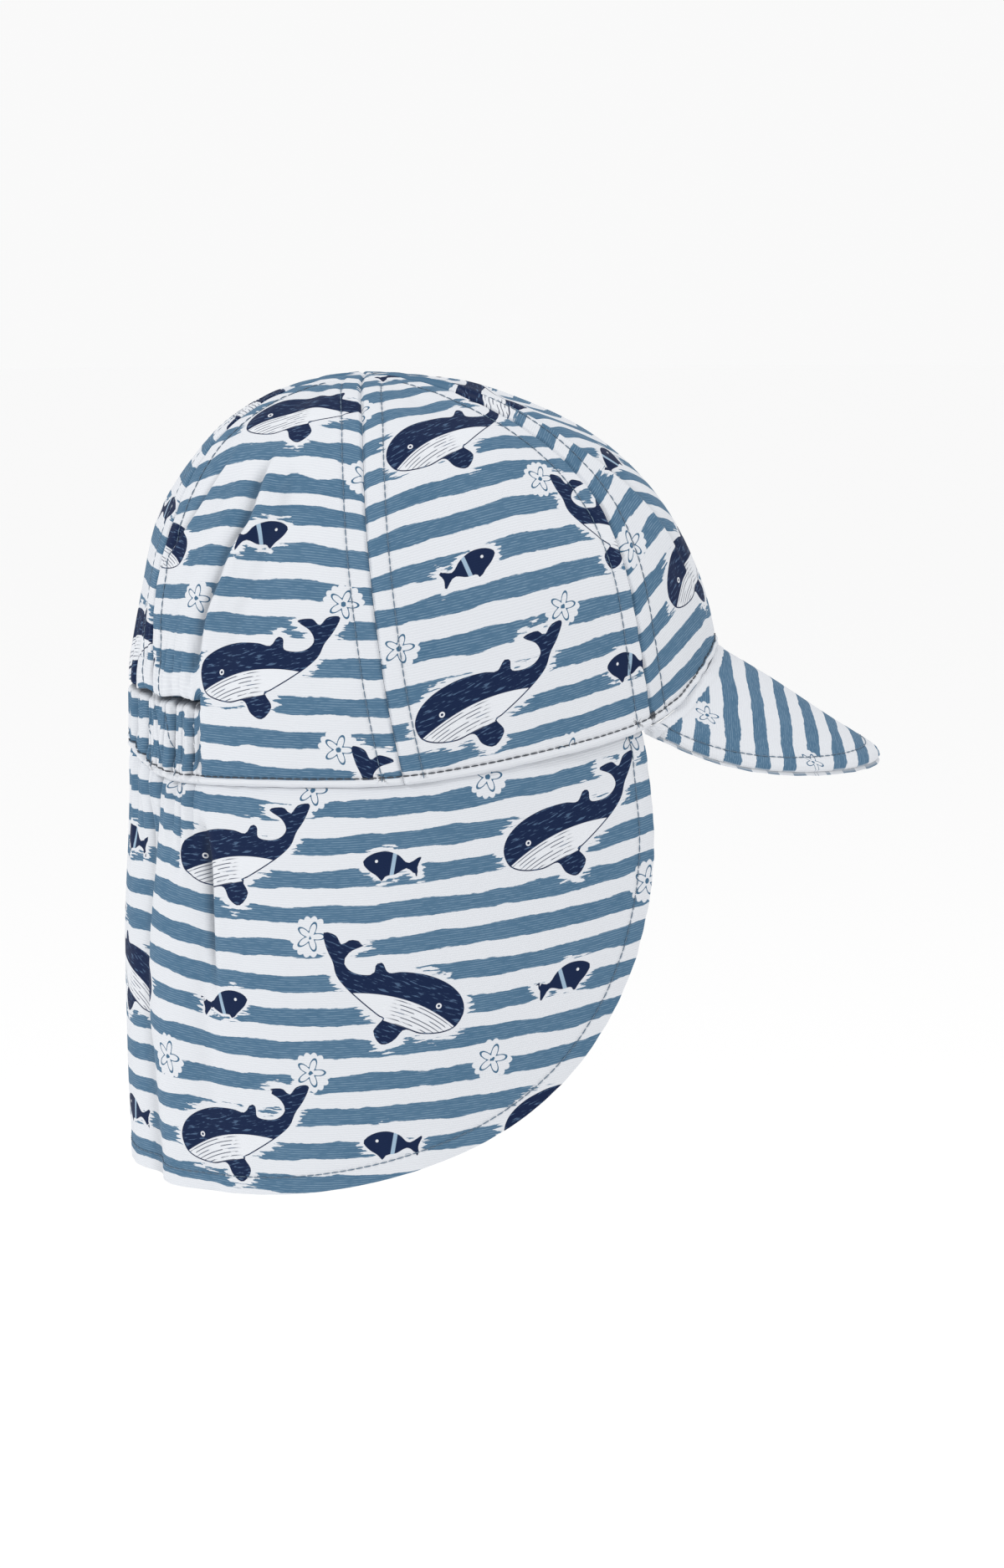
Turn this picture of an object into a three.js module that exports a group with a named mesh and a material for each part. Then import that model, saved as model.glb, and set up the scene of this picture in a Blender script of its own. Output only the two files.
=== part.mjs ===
import * as THREE from "three";

// A child's sun hat in the form it has when worn: a crown of six stitched gores, gathered at the
// back by an elastic in its hem, a short arched peak in two layers, and a long flap for the neck.
// Millimetres, +X to the front, +Y to the wearer's left, +Z up. The origin is the middle of the
// head opening, level with the hem above the ears. Angles are in degrees round from the front.

// Driving sizes of the crown
const FRONT_REACH = 95; // origin to the hem in front, on the level of the origin
const BACK_REACH = 88; // origin to the hem behind
const HALF_WIDTH = 71; // origin to the hem above an ear
const CROWN_HEIGHT = 113.8; // origin to the top of the crown
const CROWN_LEAN = 15; // the top lies this far behind the origin
const FOREHEAD_RISE = 31; // the hem at the forehead stands this far above the origin
const CLOTH = 1.5; // one layer of printed cloth with its seam allowance
const SEAM_GAP = 0.3; // between neighbouring pieces along every seam
const TOP_OPENING = 2; // radius of the eye that the gores leave open where they meet

// Driving sizes of the gathered hem behind
const CASING_HEIGHT = 22; // the hem channel that holds the elastic
const GATHER_START = 139; // angle at which the elastic is anchored on each side
const GATHER_PITCH = 11; // between two ripples of the gathered cloth
const GATHER_DEPTH = 0.8; // rise and fall of a ripple
const TUCK_DEPTH = 1.8; // the crease along the top of the channel
const PUFF_DEPTH = 1.3; // the cloth that stands out over that crease
const PUFF_HEIGHT = 16; // and how far up it does

// Driving sizes of the peak
const PEAK_LENGTH = 51.5; // level distance from the forehead hem to the tip
const PEAK_FALL = 33.4; // height lost from the forehead hem to the tip
const PEAK_ARCH = 0.9; // how far the peak bulges between the hem and its edge
const PEAK_CORNER = 2.5; // the peak's edge starts this far in front of the temple
const PEAK_FLARE = 1.8; // and this far out from it
const PEAK_ROUNDNESS = 2.3; // exponent of its outline, 2 being an ellipse
const PEAK_CURL = 6; // exponent by which its edge dips from the temple to the tip

// Driving sizes of the flap
const FLAP_DROP = 127.3; // origin to the lowest edge of the flap
const FLAP_INSET = 0.8; // the flap hangs this far inside the face of the crown
const FLAP_ROUNDNESS = 3.7; // exponents of its lower edge, from the nape to the temples
const FLAP_FULLNESS = 0.44;
const FOLD_DEPTH = 3.6; // the deepest soft fold below the gathers

// Facets along and across each kind of piece
const GORE_ROWS = 13;
const FRONT_COLUMNS = 14;
const SIDE_FRONT_COLUMNS = 11;
const SIDE_REAR_COLUMNS = 18;
const BACK_COLUMNS = 22;
const PEAK_COLUMNS = 18;
const PEAK_ROWS = 6;
const FLAP_COLUMNS = 58;
const FLAP_ROWS = 10;
const CROWDING = 0.4; // by how much facets draw together towards the gathers

// Height of the hem round the head, in shares of the forehead rise
const HEM = [
  { angle: -20, rise: 0.82 },
  { angle: 0, rise: 1 },
  { angle: 20, rise: 0.82 },
  { angle: 42, rise: 0.43 },
  { angle: 66, rise: 0.21 },
  { angle: 90, rise: 0.016 },
  { angle: 125, rise: -0.08 },
  { angle: 150, rise: -0.13 },
  { angle: 180, rise: 0.065 },
  { angle: 210, rise: -0.13 },
];

// Sections of the crown from hem to top. climb is the share of a quarter turn, the next three are
// shares of the hem's reach and width, and the last three are the angles of the seams.
const CROWN = [
  { climb: 0, front: 1, side: 1, back: 1, frontSeam: 42.5, sideSeam: 94, rearSeam: 152 },
  { climb: 0.15, front: 0.982, side: 0.985, back: 0.94, frontSeam: 41.5, sideSeam: 95.5, rearSeam: 158 },
  { climb: 0.3, front: 0.923, side: 0.935, back: 0.864, frontSeam: 38.5, sideSeam: 96, rearSeam: 162 },
  { climb: 0.45, front: 0.816, side: 0.835, back: 0.751, frontSeam: 36, sideSeam: 96, rearSeam: 163 },
  { climb: 0.6, front: 0.647, side: 0.68, back: 0.599, frontSeam: 35.5, sideSeam: 95.5, rearSeam: 165 },
  { climb: 0.75, front: 0.427, side: 0.475, back: 0.397, frontSeam: 36.5, sideSeam: 95.5, rearSeam: 166 },
  { climb: 0.88, front: 0.219, side: 0.26, back: 0.188, frontSeam: 38.5, sideSeam: 98, rearSeam: 167 },
  { climb: 1, front: 0, side: 0, back: 0, frontSeam: 40, sideSeam: 102, rearSeam: 168 },
];

// Sections of the flap. fall is the share of its drop, the next three are shares of the hem's reach
// and half width, and spread is the exponent that swings the free front edges outwards.
const FLAP = [
  { fall: 0, front: 1, side: 1, back: 1, spread: 1 },
  { fall: 0.2, front: 1.02, side: 1.012, back: 1, spread: 0.96 },
  { fall: 0.45, front: 1.033, side: 1.025, back: 1.025, spread: 0.9 },
  { fall: 0.75, front: 1.02, side: 1.02, back: 1.025, spread: 0.86 },
  { fall: 1, front: 1.01, side: 1, back: 1.005, spread: 0.84 },
];

// Soft folds of the flap on each side of the nape. depth is the share of the fold depth, outwards
// when positive, and hem and edge say how much of it is left at the top and at the bottom.
const FOLDS = [
  { angle: 180, width: 9, depth: 0.35, hem: 0.3, edge: 0.6 },
  { angle: 161, width: 6, depth: -1, hem: 0.7, edge: 0.8 },
  { angle: 149, width: 7, depth: 0.45, hem: 0.4, edge: 0.9 },
  { angle: 138, width: 4.5, depth: -0.55, hem: 0.8, edge: 0.1 },
  { angle: 118, width: 12, depth: 0.25, hem: 0, edge: 1 },
];

const WHITE_CLOTH = 0xe9eaef;
const BLUE_CLOTH = 0x5a7c98;

const radians = THREE.MathUtils.degToRad;
const mix = THREE.MathUtils.lerp;
const smoothstep = THREE.MathUtils.smoothstep;

/** A smooth curve through one column of a table, read at x in its key column. */
function through(rows, key, column, x) {
  const last = rows.length - 2;
  const found = rows.findIndex((row) => row[key] > x) - 1;
  const i = found < 0 ? (x < rows[0][key] ? 0 : last) : Math.min(found, last);
  const slope = (k) => (rows[k + 1][column] - rows[k][column]) / (rows[k + 1][key] - rows[k][key]);
  const tangent = (k) => {
    if (k === 0) return slope(0);
    if (k === rows.length - 1) return slope(k - 1);
    const before = rows[k][key] - rows[k - 1][key];
    const after = rows[k + 1][key] - rows[k][key];
    return (slope(k - 1) * after + slope(k) * before) / (before + after);
  };
  const step = rows[i + 1][key] - rows[i][key];
  const t = THREE.MathUtils.clamp((x - rows[i][key]) / step, 0, 1);
  return (
    (1 + 2 * t) * (1 - t) ** 2 * rows[i][column] +
    t * (1 - t) ** 2 * step * tangent(i) +
    t * t * (3 - 2 * t) * rows[i + 1][column] +
    t * t * (t - 1) * step * tangent(i + 1)
  );
}

/** The angle folded into 0 to 180, because both sides of the hat are alike. */
function turned(angle) {
  return Math.abs(THREE.MathUtils.euclideanModulo(angle + 180, 360) - 180);
}

/** A hump of height 1 and the given half width round the middle. */
function hump(x, middle, width) {
  return Math.exp(-(((x - middle) / width) ** 2));
}

function hemHeight(angle) {
  return FOREHEAD_RISE * through(HEM, "angle", "rise", turned(angle));
}

/** How far the top of the crown lies back at a height, spread evenly over its rise. */
function leanAt(height) {
  return (-CROWN_LEAN * height) / CROWN_HEIGHT;
}

function sideOf(angle) {
  return Math.cos(radians(angle)) > 0 ? "front" : "back";
}

function reachAt(angle) {
  return sideOf(angle) === "front" ? FRONT_REACH : BACK_REACH;
}

/** The smooth face of the crown, without its gathers. */
function crownForm(angle, climb) {
  const hem = hemHeight(angle);
  const height = hem + (CROWN_HEIGHT - hem) * Math.sin((Math.PI / 2) * climb);
  const reach = reachAt(angle) * through(CROWN, "climb", sideOf(angle), climb);
  return new THREE.Vector3(
    leanAt(height) + reach * Math.cos(radians(angle)),
    HALF_WIDTH * through(CROWN, "climb", "side", climb) * Math.sin(radians(angle)),
    height,
  );
}

/** Ripples of the gathered cloth round the back, 0 beyond the ends of the elastic. */
function ripple(angle) {
  const along = (radians(180 - turned(angle)) * BACK_REACH) / GATHER_PITCH;
  return GATHER_DEPTH * gathered(angle) * Math.cos(2 * Math.PI * along);
}

/** 1 where the elastic gathers the cloth, 0 elsewhere, with a soft end. */
function gathered(angle) {
  return smoothstep(turned(angle), GATHER_START, GATHER_START + 5);
}

/** The unit vector out of a form at a place, from its slopes on both sides. */
function outward(form, u, v, du, dv) {
  const across = form(u + du, v).sub(form(u - du, v));
  const up = form(u, v + dv).sub(form(u, v - dv));
  return across.cross(up).normalize();
}

/** The face of the crown with its gathers: ripples, and the crease and puff over the channel. */
function crownFace(angle, climb) {
  const place = crownForm(angle, climb);
  const above = place.z - hemHeight(angle);
  const fade = 1 - smoothstep(above, CASING_HEIGHT, CASING_HEIGHT + 2 * PUFF_HEIGHT);
  const crease = TUCK_DEPTH * hump(above, CASING_HEIGHT, TUCK_DEPTH);
  const puff = PUFF_DEPTH * hump(above, CASING_HEIGHT + PUFF_HEIGHT / 2, PUFF_HEIGHT / 2);
  const relief = ripple(angle) * fade + gathered(angle) * (puff - crease);
  return place.addScaledVector(outward(crownForm, angle, climb, 1, 0.01), relief);
}

/** A cloth wall of even thickness: face(u, v) is its outer side for u and v from 0 to 1, with u
 *  running to the hat's left seen from the front and v running up, and inner(place, u, v) gives
 *  the place behind it. */
function clothWall(columns, rows, face, inner) {
  const stride = columns + 1;
  const sheet = stride * (rows + 1);
  const positions = [];
  const behind = [];
  for (let j = 0; j <= rows; j += 1) {
    for (let i = 0; i <= columns; i += 1) {
      const place = face(i / columns, j / rows);
      positions.push(...place.toArray());
      behind.push(...inner(place, i / columns, j / rows).toArray());
    }
  }
  const index = [];
  const quad = (a, b, c, d) => index.push(a, b, c, a, c, d);
  for (let j = 0; j < rows; j += 1) {
    for (let i = 0; i < columns; i += 1) {
      const a = j * stride + i;
      quad(a, a + 1, a + 1 + stride, a + stride);
      quad(sheet + a, sheet + a + stride, sheet + a + 1 + stride, sheet + a + 1);
    }
  }
  const rim = [];
  for (let i = 0; i < columns; i += 1) rim.push(i);
  for (let j = 0; j < rows; j += 1) rim.push(j * stride + columns);
  for (let i = columns; i > 0; i -= 1) rim.push(rows * stride + i);
  for (let j = rows; j > 0; j -= 1) rim.push(j * stride);
  rim.forEach((a, k) => {
    const b = rim[(k + 1) % rim.length];
    quad(a, sheet + a, sheet + b, b);
  });
  const geometry = new THREE.BufferGeometry();
  geometry.setAttribute("position", new THREE.Float32BufferAttribute([...positions, ...behind], 3));
  geometry.setIndex(index);
  geometry.computeVertexNormals();
  return geometry;
}

function piece(name, geometry, colour) {
  const material = new THREE.MeshStandardMaterial({ color: colour, roughness: 0.8, metalness: 0 });
  const mesh = new THREE.Mesh(geometry, material);
  mesh.name = name;
  return mesh;
}

/** The climb at which a gore stops, so that the eye at the top stays open. */
function lastClimb() {
  const nearTop = CROWN[CROWN.length - 2];
  const radius = nearTop.side * HALF_WIDTH;
  return 1 - ((1 - nearTop.climb) * TOP_OPENING) / radius;
}

/** Rows of a gore, closer together over the channel where the cloth is creased. */
function climbAt(share) {
  return lastClimb() * (0.45 * share + 0.55 * share ** 2);
}

/** A gore of the crown between two seams, each given as a side, -1 or 1, and a column. Its facets
 *  crowd towards the second seam when crowd is 1 and towards the first when it is -1. */
function gore(name, from, to, columns, crowd) {
  const seamAngle = (seam, climb) => seam.side * through(CROWN, "climb", seam.column, climb);
  const place = (u, v) => {
    const climb = climbAt(v);
    const start = seamAngle(from, climb);
    const span = THREE.MathUtils.euclideanModulo(seamAngle(to, climb) - start, 360);
    const middle = start + span / 2;
    const length = crownForm(start, climb).distanceTo(crownForm(middle, climb)) * 2;
    const inset = (SEAM_GAP / 2 / length) * span;
    const along = u + crowd * CROWDING * u * (1 - u);
    return { angle: mix(start + inset, start + span - inset, along), climb };
  };
  const face = (u, v) => crownFace(place(u, v).angle, place(u, v).climb);
  const inner = (outer, u, v) => {
    const { angle, climb } = place(u, v);
    return outer.clone().addScaledVector(outward(crownForm, angle, climb, 1, 0.01), -CLOTH);
  };
  return piece(name, clothWall(columns, GORE_ROWS, face, inner), WHITE_CLOTH);
}

/** The upper face of the peak: u goes from temple to temple and v from its edge to the hem. */
function peakFace(u, v) {
  const temple = CROWN[0].frontSeam;
  const gapAngle = (SEAM_GAP / Math.hypot(FRONT_REACH, HALF_WIDTH)) * (180 / Math.PI);
  const angle = mix(-temple + gapAngle, temple - gapAngle, u);
  const root = crownForm(angle, 0);
  root.z -= SEAM_GAP;
  const corner = crownForm(temple, 0);
  const turn = (Math.PI / 2) * (2 * u - 1);
  const round = (value) => Math.sign(value) * Math.abs(value) ** (2 / PEAK_ROUNDNESS);
  const tip = crownForm(0, 0).add(new THREE.Vector3(PEAK_LENGTH, 0, -PEAK_FALL));
  const start = corner.x + PEAK_CORNER;
  const edge = new THREE.Vector3(
    mix(start, tip.x, round(Math.cos(turn))),
    (corner.y + PEAK_FLARE) * round(Math.sin(turn)),
    mix(tip.z, corner.z - PEAK_FLARE, Math.abs(2 * u - 1) ** PEAK_CURL),
  );
  const place = edge.lerp(root, v);
  place.z += PEAK_ARCH * 4 * v * (1 - v);
  return place;
}

/** One layer of the peak, lying the given depth under its upper face. */
function peakLayer(name, depth) {
  const within = (share) => THREE.MathUtils.clamp(share, 0.02, 0.98);
  const sunk = (u, v, below) =>
    peakFace(u, v).addScaledVector(outward(peakFace, within(u), within(v), 0.02, 0.02), -below);
  const face = (u, v) => sunk(u, v, depth);
  const inner = (outer, u, v) => sunk(u, v, depth + CLOTH);
  return piece(name, clothWall(PEAK_COLUMNS, PEAK_ROWS, face, inner), BLUE_CLOTH);
}

/** Height of the flap's lower edge, with share 0 at the nape and 1 at a temple. */
function flapEdgeHeight(share) {
  return -FLAP_DROP * (1 - Math.abs(share) ** FLAP_ROUNDNESS) ** FLAP_FULLNESS;
}

/** Shares round the flap, evenly spaced along its outline, from one temple to the other. */
function flapShares(columns) {
  const samples = 400;
  const lengths = [0];
  const width = HALF_WIDTH * radians(180 - CROWN[0].frontSeam);
  for (let k = 1; k <= samples; k += 1) {
    const rise = flapEdgeHeight(k / samples) - flapEdgeHeight((k - 1) / samples);
    lengths.push(lengths[k - 1] + Math.hypot(width / samples, rise));
  }
  const half = (along) => {
    const wanted = along * lengths[samples];
    const k = Math.max(1, lengths.findIndex((length) => length >= wanted));
    return (k - 1 + (wanted - lengths[k - 1]) / (lengths[k] - lengths[k - 1])) / samples;
  };
  return (u) => {
    const along = Math.abs(2 * u - 1);
    return along === 0 ? 0 : Math.sign(2 * u - 1) * half(Math.round(along * columns) / columns);
  };
}

/** The smooth hanging form of the flap at a share round it and a height. */
function flapForm(share, height) {
  const temple = CROWN[0].frontSeam;
  const gapAngle = (SEAM_GAP / Math.hypot(FRONT_REACH, HALF_WIDTH)) * (180 / Math.PI);
  const angle = 180 + share * (180 - temple - gapAngle);
  const hem = hemHeight(angle);
  const fall = THREE.MathUtils.clamp((hem - height) / (hem + FLAP_DROP), 0, 1);
  const swing = Math.sin(radians(angle));
  const spread = Math.abs(swing) ** through(FLAP, "fall", "spread", fall);
  const side = (HALF_WIDTH - FLAP_INSET) * through(FLAP, "fall", "side", fall);
  const reach = (reachAt(angle) - FLAP_INSET) * through(FLAP, "fall", sideOf(angle), fall);
  return new THREE.Vector3(
    leanAt(hem) + reach * Math.cos(radians(angle)),
    side * Math.sign(swing) * spread,
    height,
  );
}

/** The unit vector level with the ground and out of the flap. */
function flapOutward(share, height) {
  const step = 0.01;
  const along = flapForm(share + step, height).sub(flapForm(share - step, height));
  return new THREE.Vector3(along.y, -along.x, 0).normalize();
}

/** The face of the flap with its folds: v is 0 along its lower edge and 1 at the hem. */
function flapFace(share, v) {
  const angle = 180 + share * (180 - CROWN[0].frontSeam);
  const top = hemHeight(angle) - SEAM_GAP;
  const height = mix(flapEdgeHeight(share), top, v);
  const fall = 1 - v;
  const folds = FOLDS.reduce((sum, fold) => {
    const here = hump(turned(angle), fold.angle, fold.width);
    return sum + FOLD_DEPTH * fold.depth * here * mix(fold.hem, fold.edge, fall);
  }, 0);
  const relief = folds * smoothstep(fall, 0, 0.2) + ripple(angle) * (1 - smoothstep(fall, 0, 0.3));
  return flapForm(share, height).addScaledVector(flapOutward(share, height), relief);
}

function neckFlap() {
  const shareAt = flapShares(FLAP_COLUMNS);
  const face = (u, v) => flapFace(shareAt(u), v);
  const inner = (outer, u) => outer.clone().addScaledVector(flapOutward(shareAt(u), outer.z), -CLOTH);
  return piece("neck_flap", clothWall(FLAP_COLUMNS, FLAP_ROWS, face, inner), WHITE_CLOTH);
}

const left = (column) => ({ side: 1, column });
const right = (column) => ({ side: -1, column });

const hat = new THREE.Group();
hat.add(
  gore("crown_front_panel", right("frontSeam"), left("frontSeam"), FRONT_COLUMNS, 0),
  gore("crown_side_front_panel_left", left("frontSeam"), left("sideSeam"), SIDE_FRONT_COLUMNS, 0),
  gore("crown_side_rear_panel_left", left("sideSeam"), left("rearSeam"), SIDE_REAR_COLUMNS, 1),
  gore("crown_back_panel", left("rearSeam"), right("rearSeam"), BACK_COLUMNS, 0),
  gore("crown_side_rear_panel_right", right("rearSeam"), right("sideSeam"), SIDE_REAR_COLUMNS, -1),
  gore("crown_side_front_panel_right", right("sideSeam"), right("frontSeam"), SIDE_FRONT_COLUMNS, 0),
  peakLayer("peak_top", 0),
  peakLayer("peak_underside", CLOTH + SEAM_GAP),
  neckFlap(),
);

export default hat;
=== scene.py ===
"""The looks of a child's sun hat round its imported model: printed cloth, seams, stitching, folds.

+X is the front, +Y the wearer's left, +Z up, in metres. Shapes are worked out in millimetres, as
in the part's source, and become metres when they go into a mesh. Angles are in degrees round
from the front, so the wearer's right, the near side of the picture, has the negative ones.
"""

import bpy
import numpy as np
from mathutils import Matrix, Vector


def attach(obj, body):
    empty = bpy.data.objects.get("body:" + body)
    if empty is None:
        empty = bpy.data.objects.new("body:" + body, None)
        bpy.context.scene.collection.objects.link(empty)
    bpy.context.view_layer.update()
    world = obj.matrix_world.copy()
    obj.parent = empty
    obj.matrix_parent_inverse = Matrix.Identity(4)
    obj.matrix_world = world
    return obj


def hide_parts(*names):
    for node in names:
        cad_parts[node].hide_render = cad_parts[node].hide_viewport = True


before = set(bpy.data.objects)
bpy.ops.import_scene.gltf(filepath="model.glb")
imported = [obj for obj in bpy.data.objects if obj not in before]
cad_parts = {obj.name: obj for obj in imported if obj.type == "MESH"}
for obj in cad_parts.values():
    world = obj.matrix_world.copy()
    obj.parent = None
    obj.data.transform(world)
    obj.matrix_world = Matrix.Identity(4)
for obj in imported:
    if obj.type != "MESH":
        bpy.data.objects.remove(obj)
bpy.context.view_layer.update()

# The crown is six gores of thin printed polyester, each cut on its own, so that the stripes meet
# at the seams at an angle. The seam allowances are turned in and sewn down on both sides, and the
# hem behind is a channel whose elastic gathers the cloth.
FRONT_REACH = 95
BACK_REACH = 88
HALF_WIDTH = 71
CROWN_HEIGHT = 113.8
CROWN_LEAN = 15
FOREHEAD_RISE = 31
SEAM_GAP = 0.12
TOP_OPENING = 0.5
CLOTH = 1.0
HEM_ANGLE = np.array([-20, 0, 20, 42, 66, 90, 125, 150, 180, 210.0])
HEM_RISE = np.array([0.82, 1, 0.82, 0.43, 0.21, 0.016, -0.08, -0.13, 0.065, -0.13])
CLIMB = np.array([0, 0.15, 0.3, 0.45, 0.6, 0.75, 0.88, 1])
FRONT_SHARE = np.array([1, 0.982, 0.923, 0.816, 0.647, 0.427, 0.219, 0])
SIDE_SHARE = np.array([1, 0.985, 0.935, 0.835, 0.68, 0.475, 0.26, 0])
BACK_SHARE = np.array([1, 0.94, 0.864, 0.751, 0.599, 0.397, 0.188, 0])
FRONT_SEAM = np.array([42.5, 41.5, 38.5, 36, 35.5, 36.5, 38.5, 40])
SIDE_SEAM = np.array([94, 95.5, 96, 96, 95.5, 95.5, 98, 102.0])
REAR_SEAM = np.array([152, 158, 162, 163, 165, 166, 167, 168.0])
SEAM_ROW = 6
HEM_ROW = 2.7
CREASE_HEIGHT = 21
GATHER_START = 139
GATHER_PITCH = 11
STRIPE_PITCH = 11
RIB_PITCH = 0.74
STITCH_PITCH = 2.5
PUFF_DROOP = 2.7
# Soft folds on the wearer's right: heights and the angles that the fold passes there
SIDE_FOLD = np.array([(10, -141), (33, -140), (46, -138.5), (57.5, -134.5), (68, -132),
                      (74, -129.5), (86, -128.5), (100, -127)])  # fmt: skip
REAR_FOLD = np.array([(38, -168), (52.6, -163.5), (66.6, -155.5), (74.6, -151.5), (90, -146)])
BROW_FOLD = np.array([(30, -14), (46, -14.5), (57, -16), (66, -17.8), (76.5, -20), (95, -26)])


def through(keys, values, x):
    """A smooth curve through values at keys: a cubic from key to key. Its slope at a key is that
    of the parabola through the key and its two neighbours."""
    step = np.diff(keys)
    slope = np.diff(values) / step
    tangent = np.empty(len(keys))
    tangent[0], tangent[-1] = slope[0], slope[-1]
    tangent[1:-1] = (slope[:-1] * step[1:] + slope[1:] * step[:-1]) / (step[:-1] + step[1:])
    i = np.clip(np.searchsorted(keys, x, side="right") - 1, 0, len(step) - 1)
    t = np.clip((x - keys[i]) / step[i], 0, 1)
    start = (1 + 2 * t) * (1 - t) ** 2 * values[i] + t * (1 - t) ** 2 * step[i] * tangent[i]
    end = t * t * (3 - 2 * t) * values[i + 1] + t * t * (t - 1) * step[i] * tangent[i + 1]
    return start + end


def soft_step(x, low, high):
    """0 below low, 1 above high, and the cubic 3tt - 2ttt of the share t between them."""
    t = np.clip((x - low) / (high - low), 0, 1)
    return t * t * (3 - 2 * t)


def hump(x, middle, width):
    """A bell of height 1: e to the minus square of the distance from the middle, in widths."""
    return np.exp(-(((x - middle) / width) ** 2))


def turned(angle):
    """The angle folded into 0 to 180, because both sides of the hat are alike."""
    return np.abs((angle + 180) % 360 - 180)


def wander(x, y, wavelength, seed):
    """Smooth unevenness between about -1 and 1: six sine waves of nearly one wavelength, added,
    that run in seeded directions."""
    draws = np.random.default_rng(seed).uniform(0, 1, (6, 3))
    total = 0
    for way, phase, stretch in draws:
        along = x * np.cos(np.pi * way) + y * np.sin(np.pi * way)
        total = total + np.sin(2 * np.pi * (along / wavelength * (0.7 + 0.6 * stretch) + phase))
    return total / 3


def run_along(points, axis):
    """The length of each line of a grid up to each of its points: the sum of its steps."""
    steps = np.linalg.norm(np.diff(points, axis=axis), axis=-1)
    start = np.zeros_like(np.take(steps, [0], axis))
    return np.concatenate([start, np.cumsum(steps, axis=axis)], axis=axis)


def unit(vectors):
    """The vectors at a length of 1: each over its own length."""
    return vectors / np.maximum(np.linalg.norm(vectors, axis=-1, keepdims=True), 1e-9)


def facing(points):
    """The unit vector out of a grid at each point: its slope across, crossed with that up."""
    return unit(np.cross(np.gradient(points, axis=0), np.gradient(points, axis=1)))


def hem_height(angle):
    """The height of the crown's hem: a smooth curve through shares of the rise at the forehead."""
    return FOREHEAD_RISE * through(HEM_ANGLE, HEM_RISE, turned(angle))


def crown_form(angle, climb):
    """The smooth crown. Its height is the hem's plus the sine of the climb, a quarter turn, times
    what is left to the top. At each height it is an ellipse whose reach to the front and back and
    whose width are shares of the hem's, shifted back with the height."""
    angle, climb = np.broadcast_arrays(np.asarray(angle, float), np.asarray(climb, float))
    hem = hem_height(angle)
    height = hem + (CROWN_HEIGHT - hem) * np.sin(np.pi / 2 * climb)
    turn = np.radians(angle)
    front = FRONT_REACH * through(CLIMB, FRONT_SHARE, climb)
    back = BACK_REACH * through(CLIMB, BACK_SHARE, climb)
    reach = np.where(np.cos(turn) > 0, front, back)
    width = HALF_WIDTH * through(CLIMB, SIDE_SHARE, climb)
    lean = -CROWN_LEAN * height / CROWN_HEIGHT
    return np.stack([lean + reach * np.cos(turn), width * np.sin(turn), height], -1)


def round_back(angle):
    """The way round the hem from the nape, in millimetres."""
    return np.radians(180 - turned(angle)) * BACK_REACH


def ripple(angle):
    """Ripples of the gathered cloth: a cosine of the way round the back, and narrow valleys by a
    high power of another, 0 past the elastic."""
    along = round_back(angle)
    pleats = 0.7 * np.cos(2 * np.pi * along / GATHER_PITCH)
    valleys = -1.7 * np.abs(np.cos(np.pi * along / 5.3 + 0.7 * np.sin(along / 7))) ** 12
    return soft_step(turned(angle), GATHER_START, GATHER_START + 3) * (pleats + valleys)


def past_fold(angle, height, fold):
    """Degrees from a fold towards the front, at each height."""
    return angle - through(fold[:, 0], fold[:, 1], height)


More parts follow.
